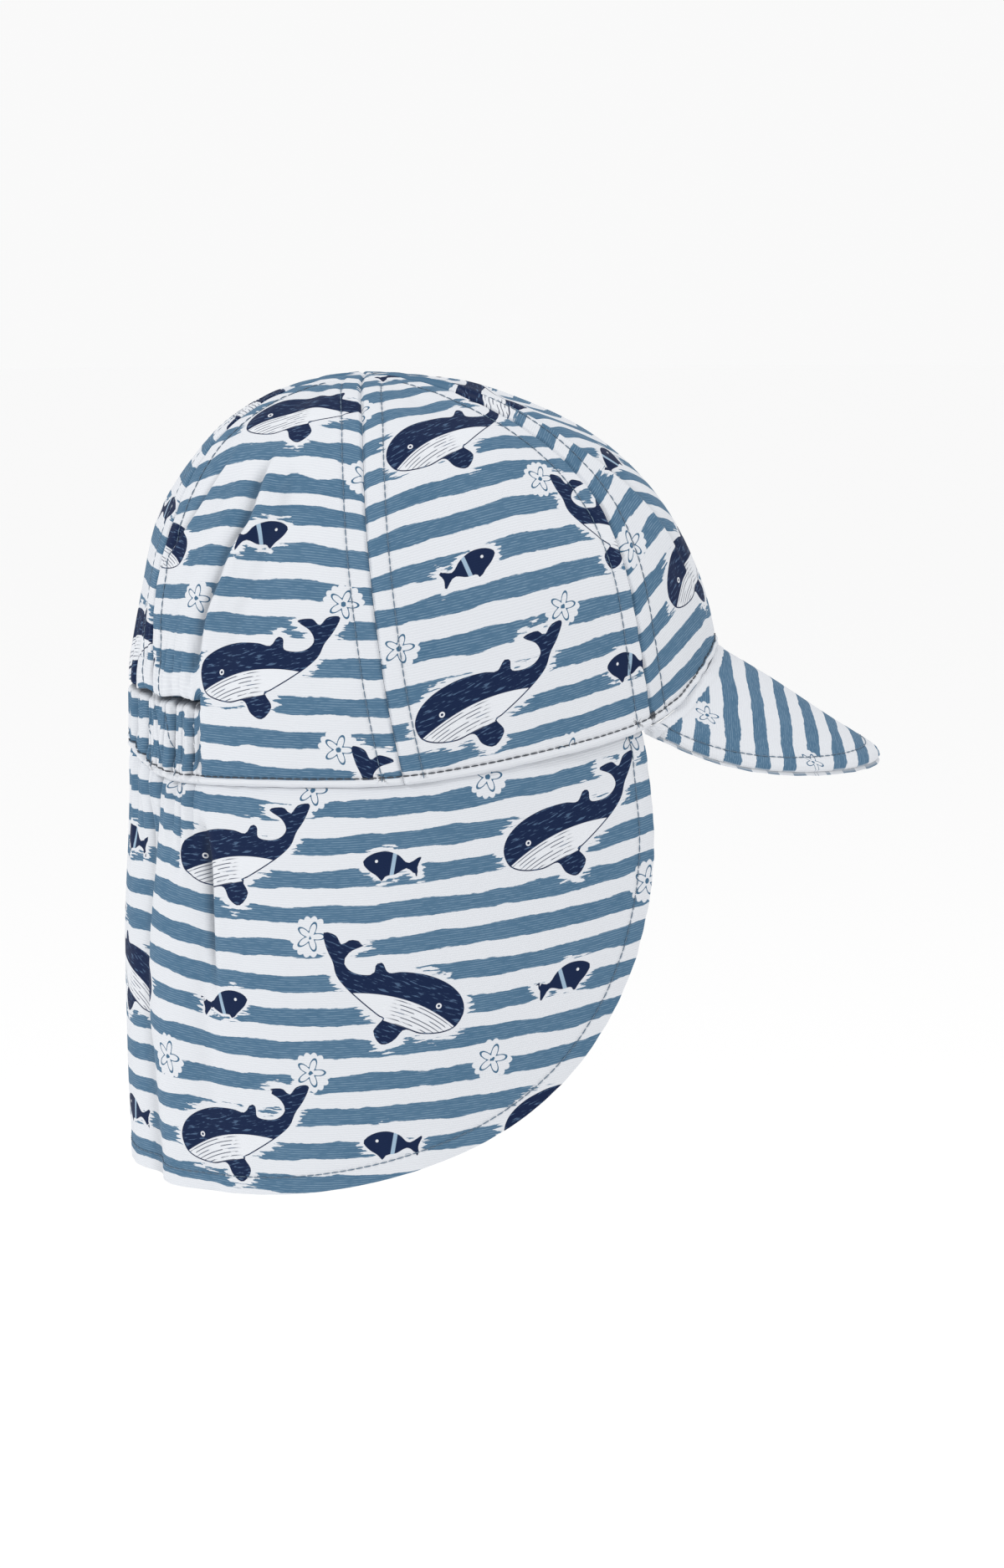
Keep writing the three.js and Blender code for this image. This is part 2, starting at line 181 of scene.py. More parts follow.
def crown_relief(angle, height, above, beside):
    """How far the cloth stands out of the smooth crown. Beside a seam it drops into the ditch,
    lies doubled up to the stitch row and is pinched under it, and the hem is made alike. Behind,
    the channel lies back under a deep crease and the cloth above it puffs over, with a sharp fold
    at its end and ripples that fade out above. Long low waves and short puckers by the rows are
    the unevenness of sewn cloth, and three soft folds lie on the near side."""
    ditch = -0.95 * np.exp(-((beside / 0.6) ** 2))
    doubled = 0.22 * (1 - soft_step(beside, SEAM_ROW - 0.8, SEAM_ROW + 0.8))
    pinch = -0.3 * hump(beside, SEAM_ROW, 0.7) - 0.5 * hump(above, HEM_ROW, 0.6)
    hem = 0.6 * (1 - soft_step(above, HEM_ROW - 0.6, HEM_ROW + 0.6)) - 1.3 * hump(above, 0, 0.6)
    pucker = wander(above, beside * 0.4, 9, 1) * 0.2 * np.exp(-beside / 7)
    pucker = pucker + wander(np.radians(angle) * 80, above * 0.4, 7, 2) * 0.3 * np.exp(-above / 6)
    slack = wander(np.radians(angle) * 80, above, 50, 3) * 0.7 * soft_step(beside, 3, 16)
    elastic = soft_step(turned(angle), GATHER_START, GATHER_START + 2)
    over = height - CREASE_HEIGHT
    fade = (1 - 0.45 * soft_step(over, -1, 3)) * (1 - soft_step(over, 0, 30))
    nape = soft_step(turned(angle), 160, 176)
    puff = (1.1 - 0.9 * nape) * hump(over, 5, 3.2) + (0.5 - 0.6 * nape) * hump(over, 12, 8)
    crease = -3.6 * hump(over, 0, 1.4) + puff
    channel = (0.7 * nape - 0.8) * (1 - soft_step(over, -1, 1)) * soft_step(above, 4, 8)
    behind_end = turned(angle) - GATHER_START
    end_fold = -2.2 * np.exp(-np.maximum(behind_end, 0) / 1.6) * soft_step(behind_end, -0.5, 0.3)
    end_fold = end_fold * (1 - soft_step(over, 0, 5)) * soft_step(above, 2, 6)
    proud = 0.8 * hump(behind_end, -2.5, 2.5)
    proud = proud * (1 - soft_step(over, 0, 12)) * soft_step(above, 2, 6)
    folds = ripple(angle) * fade + elastic * (crease + channel) + end_fold + proud
    side = past_fold(angle, height, SIDE_FOLD)
    rear = past_fold(angle, height, REAR_FOLD)
    brow = past_fold(angle, height, BROW_FOLD)
    upper = 1 - soft_step(height, 84, 98)
    lengthwise = soft_step(height, 24, 34) * upper
    folds = folds + (1.3 * hump(side, 2.2, 2.2) - 1.5 * hump(side, -1.2, 1.8)) * lengthwise
    folds = folds + (0.9 * hump(side, -7, 3.2) - 0.8 * hump(side, 9, 4)) * lengthwise
    folds = folds + (0.7 * hump(rear, 1.5, 2) - 0.9 * hump(rear, -1.2, 1.6)) * lengthwise
    folds = folds + (0.8 * hump(brow, -1, 2) - 0.9 * hump(brow, 3, 2.5)) * soft_step(height, 45, 58)
    folds = folds * soft_step(beside, 0, 5)
    return ditch + doubled + pinch + hem + pucker + slack + folds * soft_step(above, 0, 3)


def puff_sag(angle, height):
    """How far the puff hangs down over the crease: a bell just above it, times a cosine of the way
    round that lets its edge sag between gathers."""
    sag = PUFF_DROOP * (1 + 0.28 * np.cos(np.pi * round_back(angle) / GATHER_PITCH + 0.9))
    elastic = soft_step(turned(angle), GATHER_START, GATHER_START + 3)
    return sag * elastic * hump(height, CREASE_HEIGHT + 3.4, 2.3)


def print_slip(angle, height):
    """Stripes by which the print steps where the cloth is folded: at the two folds behind, from
    gather to gather inside the channel by a sine of the gather's number, and past the fold over
    the brow, where the cut of the gore turns the stripes downwards."""
    gather = np.floor(round_back(angle) / 5.3 + 0.5 + 0.7 / np.pi * np.sin(round_back(angle) / 7))
    elastic = soft_step(turned(angle), GATHER_START, GATHER_START + 1)
    inside = elastic * (1 - soft_step(height, CREASE_HEIGHT, CREASE_HEIGHT + 1.5))
    slip = 0.09 * np.sin(2.4 * gather) * inside - 0.3 * inside
    near = (angle < -95) * (1 - soft_step(height, 84, 96))
    slip = slip + 0.17 * near * (1 - soft_step(past_fold(angle, height, SIDE_FOLD), -1.2, 0.6))
    slip = slip + 0.12 * near * (1 - soft_step(past_fold(angle, height, REAR_FOLD), -1.2, 0.6))
    brow = past_fold(np.minimum(angle, 0), height, BROW_FOLD)
    brow = np.radians(np.maximum(brow, 0)) * 75 * soft_step(height, 52, 72)
    return slip + 0.62 * brow / STRIPE_PITCH * (np.abs(angle) < 60)


def gore_grid(start_seam, end_seam, columns, rows):
    """Angles and climbs of a gore. Columns share out the way from seam to seam, closer by a sine
    near both, and rows the climb, closer near the hem."""
    share = np.linspace(0, 1, rows)[None, :]
    last_climb = 1 - (1 - CLIMB[-2]) * TOP_OPENING / (SIDE_SHARE[-2] * HALF_WIDTH)
    climb = last_climb * (0.45 * share + 0.55 * share**2)
    start, end = start_seam(climb), end_seam(climb)
    middle = crown_form((start + end) / 2, climb)
    length = 2 * np.linalg.norm(crown_form(start, climb) - middle, axis=-1)
    inset = SEAM_GAP / 2 / length * (end - start)
    along = np.linspace(0, 1, columns)[:, None]
    along = along - 0.75 * np.sin(2 * np.pi * along) / (2 * np.pi)
    angle = start + inset + (end - start - 2 * inset) * along
    return angle, np.broadcast_to(climb, angle.shape)


def stripe_steps(up, stripes):
    """How many stripes lie below a height on the cloth, stripes being the heights of their
    middles. Beyond the list they follow at the even pitch."""
    more = STRIPE_PITCH * np.arange(1, 9)
    heights = np.concatenate([stripes[0] - more[::-1], stripes, stripes[-1] + more])
    return np.interp(up, heights, np.arange(len(heights)) - 8)


def gore_cloth(points, aim, spring, axis, tilt):
    """Where points of the crown lie on the flat cloth of a gore aimed at an angle: across it, and
    up it. Stripes are the cuts of planes through a level line under the dome, square to the aim,
    and their height on the cloth is the length of the gore's middle line up to that plane."""
    turn = np.radians(aim)
    inner = np.array([axis, 0, spring])
    line = crown_form(aim, np.linspace(0, 1, 400))

    def split(places):
        """Out along the aim, across it, and up, from the level line."""
        x, y, z = np.moveaxis(places - inner, -1, 0)
        return x * np.cos(turn) + y * np.sin(turn), y * np.cos(turn) - x * np.sin(turn), z

    line_out, _, line_up = split(line)
    swing = np.arctan2(line_up, line_out)
    lengths = run_along(line[:, None], 0)[:, 0]
    level = np.interp(0, swing, lengths)
    out, across, high = split(points)
    over = np.maximum(high, 0)
    raised = np.interp(np.arctan2(over, out), swing, lengths) - level
    up = np.where(high > 0, raised, high) + spring + tilt * across
    reach = np.hypot(out, over)
    return np.hypot(reach, across) * np.arctan2(across, reach), up


# The print: blunt whales, small fish and starfish, drawn for this hat, half dropped over stripes.
# A row is a motif's middle across and up the cloth, its turn, and -1 where it faces the other way.
# No outline is farther than MOTIF_REACH from its middle, and NO_MOTIF stands for none near.
REPEAT = np.array([104, 84])
MOTIF_REACH = 28
NO_MOTIF = 60.0
WHALE_PLACES = [(26, 20, 14, 1), (78, 62, -24, -1)]
FISH_PLACES = [(76, 18, -10, 1), (24, 60, 16, -1)]
STAR_PLACES = [(2, 40, 0, 1), (52, 41, 0, 1), (52, 82, 0, 1)]
WHALE = np.array([
    (-17.6, -0.6), (-17.4, 2.6), (-15, 5.6), (-10.5, 7.5), (-4.5, 7.9), (1.5, 6.8), (5, 5.4),
    (7.4, 7.2), (8.9, 6.4), (8.6, 3.8), (12, 2.5), (15, 2.7), (17, 4.3), (16.4, 7.2),
    (13.6, 10.2), (17.6, 10), (19.3, 8), (21.8, 9.6), (25, 9), (22.6, 5.6), (19.6, 3),
    (17.4, 0.2), (14, -1.8), (9, -3.8), (3, -5.8), (1.4, -6.2), (2.6, -9.8), (-0.6, -12.4),
    (-3.4, -10.4), (-4.8, -6.9), (-9, -6.7), (-13.5, -5.2), (-16.5, -3.1),
]) * 1.15  # fmt: skip
FISH = np.array([
    (-7.5, 0), (-5.5, 2.2), (-2, 3.3), (1.5, 2.6), (4.4, 0.8), (7.6, 3), (6.9, 0), (7.6, -2.8),
    (4.4, -0.6), (1.5, -2.3), (-1, -3), (-1.6, -4.4), (-3.4, -3.1), (-5.8, -1.9),
]) * 1.15  # fmt: skip


def closed_line(corners, steps=5):
    """A closed line through corners: from each to the next a cubic, whose slope at a corner is
    half the way from the corner before it to the one after."""
    before, after = np.roll(corners, 1, 0), np.roll(corners, -1, 0)
    t = (np.arange(steps) / steps)[None, :, None]
    near, far = (after - before)[:, None] / 2, (np.roll(corners, -2, 0) - corners)[:, None] / 2
    here, there = corners[:, None], after[:, None]
    line = (1 + 2 * t) * (1 - t) ** 2 * here + t * (1 - t) ** 2 * near
    line = line + t * t * (3 - 2 * t) * there + t * t * (t - 1) * far
    return line.reshape(-1, 2)


def outside_distance(places, line):
    """The distance of places from a closed line, less than 0 within it: the least distance to its
    straight pieces, and the sign from the number of pieces that a level ray crosses."""
    start, end = line, np.roll(line, -1, 0)
    way = end - start
    offset = places[:, None] - start
    share = np.clip((offset * way).sum(-1) / (way**2).sum(-1), 0, 1)
    distance = np.linalg.norm(offset - share[..., None] * way, axis=-1).min(1)
    x, y = places[:, :1], places[:, 1:]
    between = (start[:, 1] > y) != (end[:, 1] > y)
    rise = np.where(way[:, 1] == 0, 1, way[:, 1])
    crossed = between & (x < start[:, 0] + way[:, 0] * (y - start[:, 1]) / rise)
    return np.where(crossed.sum(1) % 2 == 1, -distance, distance)


def nearest_motif(across, up, places, corners=None):
    """Each place of the cloth in the coordinates of the nearest motif, with its distance outside
    it. Without corners the motif is a point. Copies lie a repeat apart, both ways, and far from a
    motif the distance from its middle less its reach is near enough."""
    flat = np.stack([across.ravel(), up.ravel()], -1)
    best = np.full((len(flat), 3), NO_MOTIF)
    for middle_across, middle_up, turn, way in places:
        offset = flat - (middle_across, middle_up)
        offset = (offset + REPEAT / 2) % REPEAT - REPEAT / 2
        cos, sin = np.cos(np.radians(turn)), np.sin(np.radians(turn))
        local = np.stack([offset @ (cos, sin) * way, offset @ (-sin, cos)], -1)
        distance = np.linalg.norm(local, axis=-1)
        if corners is not None:
            near = distance < MOTIF_REACH + 12
            distance = distance - MOTIF_REACH
            distance[near] = outside_distance(local[near], closed_line(corners))
        closer = distance < best[:, 2]
        best[closer] = np.column_stack([local, distance])[closer]
    return best.reshape(*across.shape, 3)


def add_mesh(name, points, faces, material):
    """A smooth mesh in the scene, from points in metres."""
    mesh = bpy.data.meshes.new(name)
    mesh.from_pydata(points.tolist(), [], faces)
    mesh.shade_smooth()
    mesh.materials.append(material)
    piece = bpy.data.objects.new(name, mesh)
    bpy.context.scene.collection.objects.link(piece)
    return piece


def cloth_wall(name, face, back, marks, material):
    """A closed piece of cloth from a grid of points on its face, with odd numbers of columns and
    rows, and the grid behind every second one of them. marks are vectors for the material at the
    points of the face, and their third number is kept for the back in cloth[2]."""
    columns, rows = face.shape[:2]
    outer = np.arange(columns * rows).reshape(columns, rows)
    inner = outer.size + np.arange(back.shape[0] * back.shape[1]).reshape(back.shape[:2])

    def quads(index):
        """The four corners of each cell of a grid, turned from the first axis to the second."""
        cells = [index[:-1, :-1], index[1:, :-1], index[1:, 1:], index[:-1, 1:]]
        return np.stack(cells, -1).reshape(-1, 4)

    def rim(index):
        """The grid's border once round, from the first corner along the first axis."""
        sides = [index[:-1, 0], index[-1, :-1], index[:0:-1, -1], index[0, :0:-1]]
        return np.concatenate(sides)

    fine, coarse = rim(outer), rim(inner)
    here, half, there = fine[::2], fine[1::2], np.roll(fine[::2], -1)
    behind, behind_next = coarse, np.roll(coarse, -1)
    triangles = np.concatenate([
        np.column_stack([here, behind, half]),
        np.column_stack([half, behind, behind_next]),
        np.column_stack([half, behind_next, there]),
    ])  # fmt: skip
    faces = [*quads(outer).tolist(), *quads(inner)[:, ::-1].tolist(), *triangles.tolist()]
    points = np.concatenate([face.reshape(-1, 3), back.reshape(-1, 3)]) / 1000
    piece = add_mesh(name, points, faces, material)
    for mark, values in marks.items():
        behind_values = values[::2, ::2].copy()
        if mark == "cloth":
            behind_values[..., 2] = 1
        both = np.concatenate([values.reshape(-1, 3), behind_values.reshape(-1, 3)])
        attribute = piece.data.attributes.new(mark, "FLOAT_VECTOR", "POINT")
        attribute.data.foreach_set("vector", both.astype(np.float32).ravel())
    piece.data.set_sharp_from_angle(angle=np.radians(55))
    return piece


class Number:
    """A number all over a surface. Arithmetic on it adds Math nodes to the tree of a material."""

    def __init__(self, tree, socket):
        self.tree, self.socket = tree, socket

    def calculate(self, operation, other=None, flipped=False):
        """A Math node on this number and another one, which comes first where flipped."""
        node = self.tree.nodes.new("ShaderNodeMath")
        node.operation = operation
        for socket, value in zip(node.inputs, (other, self) if flipped else (self, other)):
            if isinstance(value, Number):
                self.tree.links.new(value.socket, socket)
            elif value is not None:
                socket.default_value = value
        return Number(self.tree, node.outputs[0])

    def __add__(self, other):
        return self.calculate("ADD", other)

    def __sub__(self, other):
        return self.calculate("SUBTRACT", other)

    def __rsub__(self, other):
        return self.calculate("SUBTRACT", other, flipped=True)

    def __mul__(self, other):
        return self.calculate("MULTIPLY", other)

    def __truediv__(self, other):
        return self.calculate("DIVIDE", other)

    def __abs__(self):
        return self.calculate("ABSOLUTE")

    def between(self, low, high):
        """0 to 1, smoothly, as the number goes from low to high."""
        node = self.tree.nodes.new("ShaderNodeMapRange")
        node.interpolation_type = "SMOOTHSTEP"
        self.tree.links.new(self.socket, node.inputs["Value"])
        node.inputs["From Min"].default_value = low
        node.inputs["From Max"].default_value = high
        return Number(self.tree, node.outputs["Result"])

    def mix(self, first, second):
        """The colour at this share of the way between two, each red, green and blue or a socket."""
        node = self.tree.nodes.new("ShaderNodeMix")
        node.data_type = "RGBA"
        self.tree.links.new(self.socket, node.inputs["Factor"])
        for socket, colour in ((node.inputs[6], first), (node.inputs[7], second)):
            if isinstance(colour, bpy.types.NodeSocket):
                self.tree.links.new(colour, socket)
            else:
                socket.default_value = (*colour, 1)
        return node.outputs[2]


def unevenness(across, up, cell, seed, detail=2.0):
    """Noise from 0 to 1 over two coordinates, in cells of a width and a height."""
    tree = across.tree
    vector = tree.nodes.new("ShaderNodeCombineXYZ")
    tree.links.new((across / cell[0]).socket, vector.inputs[0])
    tree.links.new((up / cell[1]).socket, vector.inputs[1])
    vector.inputs[2].default_value = seed
    noise = tree.nodes.new("ShaderNodeTexNoise")
    noise.inputs["Scale"].default_value = 1
    noise.inputs["Detail"].default_value = detail
    tree.links.new(vector.outputs[0], noise.inputs["Vector"])
    return Number(tree, noise.outputs[0])


def new_material(name):
    """A material, with its tree of nodes and its Principled shader."""
    material = bpy.data.materials.new(name)
    material.use_nodes = True
    return material, material.node_tree, material.node_tree.nodes["Principled BSDF"]


def mark_parts(tree, name):
    """The three numbers of one of the marks on the cloth."""
    attribute = tree.nodes.new("ShaderNodeAttribute")
    attribute.attribute_name = name
    parts = tree.nodes.new("ShaderNodeSeparateXYZ")
    tree.links.new(attribute.outputs["Vector"], parts.inputs[0])
    return [Number(tree, socket) for socket in parts.outputs]


def printed_cloth():
    """White ribbed polyester with painted slate blue stripes, navy motifs, a pale wrong side."""
    white = (0.70, 0.72, 0.755)
    blue = (0.056, 0.132, 0.22)
    pale_blue = (0.30, 0.42, 0.54)
    navy = (0.006, 0.016, 0.055)
    material, tree, shader = new_material("printed_cloth")
    across, up, inside = mark_parts(tree, "cloth")
    stitch_distance, stitch_run, above_hem = mark_parts(tree, "sewing")

    # Stripes: the edges wander slowly, and finely where the brush ran dry
    slow = unevenness(across, up, (17, 7), 1)
    fine = unevenness(across, up, (2.2, 1), 2)
    half = unevenness(across, up, (30, 11), 3) * 1.7 + 1.95
    place = (up + (slow - 0.5) * 3.4 + (fine - 0.5) * 0.7) / STRIPE_PITCH
    from_middle = abs((place + 1000.5).calculate("FRACT") - 0.5) * STRIPE_PITCH
    stripe = 1 - (from_middle - half).between(-0.12, 0.12)

    # Round each motif the stripes stop in ragged brush ends, and the turned hem is left white
    x, y, off_whale = mark_parts(tree, "whale")
    fish_x, fish_y, off_fish = mark_parts(tree, "fish")
    star_x, star_y, off_star = mark_parts(tree, "star")
    ragged = (unevenness(across, up, (5, 0.9), 4, 3) - 0.4) * 9
    free = (off_whale.calculate("MINIMUM", off_fish + 0.6) - ragged).between(0.9, 1.3)
    burst = star_y.calculate("ARCTAN2", star_x)
    scallop = abs((burst * 8).calculate("SINE")) * 0.8 + 5.4
    printed = above_hem.between(HEM_ROW - 0.5, HEM_ROW - 0.2)
    stripe = stripe * free * (off_star - scallop).between(-0.1, 0.2) * printed

    # Painted glints: light dashes and streaks in the blue along the ribs of the weave, with a
    # little uneven tone; on the white, painted shade in the grooves between the ribs
    streak = unevenness(across, up, (2.6, 0.36), 5)
    yarn = unevenness(across, up, (2.8, 0.37), 8)
    rib = (up * (2 * np.pi / RIB_PITCH)).calculate("SINE")
    ridge = rib.between(0.1, 1)
    rib_glint_and_tone = streak.between(0.5, 0.75) * 0.07 + ridge * yarn.between(0.36, 0.6) * 0.36
    rib_glint_and_tone = rib_glint_and_tone + unevenness(across, up, (24, 24), 6) * 0.12
    groove_shaded_white = ((1 - ridge) * 0.3).mix(white, (0.56, 0.585, 0.63))
    colour = stripe.mix(groove_shaded_white, rib_glint_and_tone.mix(blue, pale_blue))

    # Starfish: five soft arms in a thin blue line, with a small ring in the middle
    contour = abs(off_star - ((burst * 5).calculate("COSINE") * 1.35 + 3))
    drawn = 1 - contour.calculate("MINIMUM", abs(off_star - 0.5)).between(0.26, 0.42)
    colour = (drawn * printed).mix(colour, blue)

    # Whales: a navy body with a pale grooved belly inside a navy line, and a ring for an eye
    below = x * x * -0.012 + (x * -0.08 + 0.2) - y
    belly = below.between(-0.1, 0.1) * y.between(-7.5, -7.2) * (off_whale * -1).between(0.3, 0.45)
    groove = abs(((below + 20.6) / 1.15).calculate("FRACT") - 0.5)
    groove = (1 - groove.between(0.1, 0.16)) * 0.8 * (1 - x.between(-2, 2))
    groove = groove * unevenness(x, below, (5, 1.15), 9).between(0.4, 0.46)
    eye_x, eye_y = x + 12.4, y - 1.6
    eye = abs((eye_x * eye_x + eye_y * eye_y).calculate("SQRT") - 0.62)
    pale_part = (belly - groove * belly).calculate("MAXIMUM", 1 - eye.between(0.16, 0.28))
    brushed = unevenness(x, y, (3.5, 0.6), 7, 3).between(0.56, 0.66) * 0.5
    whale_ink = pale_part.mix(brushed.mix(navy, (0.13, 0.22, 0.36)), white)
    within = 1 - off_whale.between(-0.08, 0.08)
    colour = (within * printed).mix(colour, whale_ink)

    # Fish: navy with one pale bar and a dot for an eye
    bar = 1 - abs(fish_x - 0.6).between(0.5, 0.7)
    eye_x, eye_y = fish_x + 4.6, fish_y - 0.6
    eye = 1 - (eye_x * eye_x + eye_y * eye_y).calculate("SQRT").between(0.35, 0.55)
    fish_ink = eye.mix(bar.mix(navy, pale_blue), white)
    within = 1 - off_fish.between(-0.08, 0.08)
    colour = (within * printed).mix(colour, fish_ink)

    # Painted shade: the colour darkens towards near black in hollows between folds, along seams and
    # in the crease, by their depth, and the wrong side shows the print only faintly
    depth = mark_parts(tree, "lie")[0]
    colour = (depth.between(0, 2.1) * 0.8).mix(colour, (0.02, 0.03, 0.05))
    colour = (inside * 0.68).mix(colour, white)
    tree.links.new(colour, shader.inputs["Base Color"])

    # Relief in millimetres: ribs across the cloth, their uneven yarn, and the pull of each stitch
    pull = (stitch_run * (2 * np.pi / STITCH_PITCH)).calculate("COSINE")
    pull = pull * (1 - stitch_distance.between(0.2, 1.8))
    relief = rib * yarn * 0.05 + streak * 0.015 + pull * 0.05
    bump = tree.nodes.new("ShaderNodeBump")
    bump.inputs["Strength"].default_value = 1
    bump.inputs["Distance"].default_value = 0.001
    tree.links.new(relief.socket, bump.inputs["Height"])
    tree.links.new(bump.outputs[0], shader.inputs["Normal"])
    shader.inputs["Roughness"].default_value = 0.82
    shader.inputs["Specular IOR Level"].default_value = 0.12
    shader.inputs["Sheen Weight"].default_value = 0.03
    shader.inputs["Sheen Roughness"].default_value = 0.5
    return material


PRINTED_CLOTH = printed_cloth()


def hollows(relief):
    """How deep each point lies under its surroundings, in millimetres: the mean of the relief a
    few points away on all four sides, near and far, less its own."""
    level = 0
    for reach in (2, 5, 9):
        padded = np.pad(relief, reach, mode="edge")
        rows, columns = padded[reach:-reach], padded[:, reach:-reach]
        level = level + columns[: -2 * reach] + columns[2 * reach :]
        level = level + rows[:, : -2 * reach] + rows[:, 2 * reach :]
    return level / 12 - relief


def cloth_marks(across, up, steps, row_distance, row_run, above_hem, relief):
    """The vectors that the printed cloth's material reads, on a grid of the cloth."""
    flat = np.zeros_like(across)
    return {
        "cloth": np.stack([across, steps * STRIPE_PITCH, flat], -1),
        "whale": nearest_motif(across, up, WHALE_PLACES, WHALE),
        "fish": nearest_motif(across, up, FISH_PLACES, FISH),
        "star": nearest_motif(across, up, STAR_PLACES),
        "sewing": np.stack([row_distance, row_run, above_hem], -1),
        # The depth of hollows in the relief, by which the material paints shade
        "lie": np.stack([hollows(relief), flat, flat], -1),
    }


def seam(side, column):
    """The angle of a seam at a climb, on the wearer's left where side is 1."""
    return lambda climb: side * through(CLIMB, column, climb)


def seam_behind(column):
    """The right-hand seam counted on past the back, so that angles grow round the back gore."""
    return lambda climb: 360 - through(CLIMB, column, climb)


# Heights of the painted stripes on the cloth of the near gores
SIDE_FRONT_STRIPES = [10.5, 19.5, 30, 41.5, 54.5, 66, 78.5, 90, 101, 111.5, 121.5, 132, 141]
SIDE_REAR_STRIPES = [1.5, 12.5, 22.5, 33.5, 45, 56, 67, 79, 88, 100.5, 111.5, 121.5, 131.5, 142]
EVEN_STRIPES = [0, 11.2, 22.4, 33.6]

# Name, seams, columns, then the aim, spring, axis and tilt of its cloth, its stripes, and how far
# the motifs are shifted across and up
GORES = [
    ("crown_front_panel", seam(-1, FRONT_SEAM), seam(1, FRONT_SEAM), 221,
     (0, -50, -15, 0.12), [-49.5, -38.4, -27.2, -16], (39, 42)),
    ("crown_side_front_panel_left", seam(1, FRONT_SEAM), seam(1, SIDE_SEAM), 121,
     (72, 40, -7, 0.2), SIDE_FRONT_STRIPES, (-14, 20)),
    ("crown_side_rear_panel_left", seam(1, SIDE_SEAM), seam(1, REAR_SEAM), 141,
     (118, 40, -7, 0), SIDE_REAR_STRIPES, (28, 6)),
    ("crown_back_panel", seam(1, REAR_SEAM), seam_behind(REAR_SEAM), 121,
     (180, 25, -7, 0), EVEN_STRIPES, (16, 68)),
    ("crown_side_rear_panel_right", seam(-1, REAR_SEAM), seam(-1, SIDE_SEAM), 141,
     (-118, 40, -7, 0), SIDE_REAR_STRIPES, (36, 72)),
    ("crown_side_front_panel_right", seam(-1, SIDE_SEAM), seam(-1, FRONT_SEAM), 121,
     (-72, 40, -7, -0.2), SIDE_FRONT_STRIPES, (24, -4)),
]  # fmt: skip
GORE_ROWS = 171
crown_rows = []
for name, start_seam, end_seam, columns, cut, stripes, shift in GORES:
    angle, climb = gore_grid(start_seam, end_seam, columns, GORE_ROWS)
    smooth = crown_form(angle, climb)
    from_start = run_along(smooth, 0)
    to_end = from_start[-1:] - from_start
    beside = np.minimum(from_start, to_end)
    above = run_along(smooth, 1)
    out = facing(smooth)
    relief = crown_relief(angle, smooth[..., 2], above, beside)
    face = smooth + out * relief[..., None]
    face[..., 2] -= puff_sag(angle, smooth[..., 2])
    across, up = gore_cloth(smooth, *cut)
    hem_near = np.abs(above - HEM_ROW) < np.abs(beside - SEAM_ROW)
    row_distance = np.where(hem_near, np.abs(above - HEM_ROW), np.abs(beside - SEAM_ROW))
    row_run = np.where(hem_near, from_start, above)
    steps = stripe_steps(up, stripes) + print_slip(angle, smooth[..., 2])
    across, up = across + shift[0], up + shift[1]
    # Painted shadow: the crease under the puff counts as deeper for the painted shade, so its
    # colour darkens there
    painted_puff_shadow = 3 * hump(smooth[..., 2], CREASE_HEIGHT - 1.2, 1.7) * (turned(angle) > GATHER_START)
    marks = cloth_marks(across, up, steps, row_distance, row_run, above, relief - painted_puff_shadow)
    back = (face - out * CLOTH)[::2, ::2]
    piece = cloth_wall(name + "_cloth", face, back, marks, PRINTED_CLOTH)
    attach(piece, "root")
    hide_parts(name)
    crown_rows.append((face, from_start, to_end, above))


# The topstitching is a dark grey-blue thread in short stitches: a row on each side of every seam
# of the crown, one along its hem, and three stitches that tack the peak at each temple.
STITCH_LENGTH = 2.3
SEAM_THREAD = 0.16
HEM_THREAD = 0.21


def row_on(face, out, distance, wanted, used=True):
    """The places of a face at a wanted distance down the first axis of its grid, and the unit
    vectors out of it there, by shares between the two nearest points of each line in use."""
    lines = np.arange(face.shape[1])
    k = np.argmax(distance >= wanted, axis=0)
    used = used & (k > 0)
    lines, k = lines[used], k[used]
    low, high = distance[k - 1, lines], distance[k, lines]
    share = ((wanted - low) / (high - low))[:, None]
    place = face[k - 1, lines] * (1 - share) + face[k, lines] * share
    return place, out[k - 1, lines] * (1 - share) + out[k, lines] * share


def stitch_row(radius, place, out):
    """Stitches along a line on the cloth. Each is a six-sided tube on an arc that rises out of
    the cloth and dips back by the square of the way along it."""
    run = run_along(place[:, None], 0)[:, 0]
    count = int(run[-1] / STITCH_PITCH)
    middle = (np.arange(count) + 0.5) * run[-1] / max(count, 1)
    way = np.array([-1, -0.62, 0, 0.62, 1])
    at = middle[:, None] + way * STITCH_LENGTH / 2

    def along(values):
        """The row's values at the lengths at which the thread is drawn."""
        return np.stack([np.interp(at, run, column) for column in values.T], -1)

    centre, up = along(place), unit(along(out))
    side = unit(np.cross(np.gradient(centre, axis=1), up))
    centre = centre + up * (0.2 - 0.16 * way**2)[None, :, None]
    thick = radius * np.sqrt(1.15 - way**2)[None, :, None, None]
    turn = np.arange(6) * np.pi / 3
    ring = np.cos(turn)[:, None] * side[:, :, None] + np.sin(turn)[:, None] * up[:, :, None]
    return (centre[:, :, None] + thick * ring).reshape(-1, 3)


def thread_piece(name, radius, rows, material):
    """One mesh of all the stitches of some rows, five rings of six points to a stitch."""
    points = np.concatenate([stitch_row(radius, *row) for row in rows])
    count = len(points) // 30
    base = np.arange(count)[:, None, None] * 30
    ring, corner = np.meshgrid(np.arange(4), np.arange(6), indexing="ij")
    near, beyond = ring * 6 + corner, ring * 6 + (corner + 1) % 6
    sides = np.stack([near, near + 6, beyond + 6, beyond], -1).reshape(1, -1, 4) + base
    caps = np.stack([np.arange(6), np.arange(29, 23, -1)])[None] + base
    faces = [*sides.reshape(-1, 4).tolist(), *caps.reshape(-1, 6).tolist()]
    piece = add_mesh(name, points / 1000, faces, material)
    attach(piece, "root")
    return piece


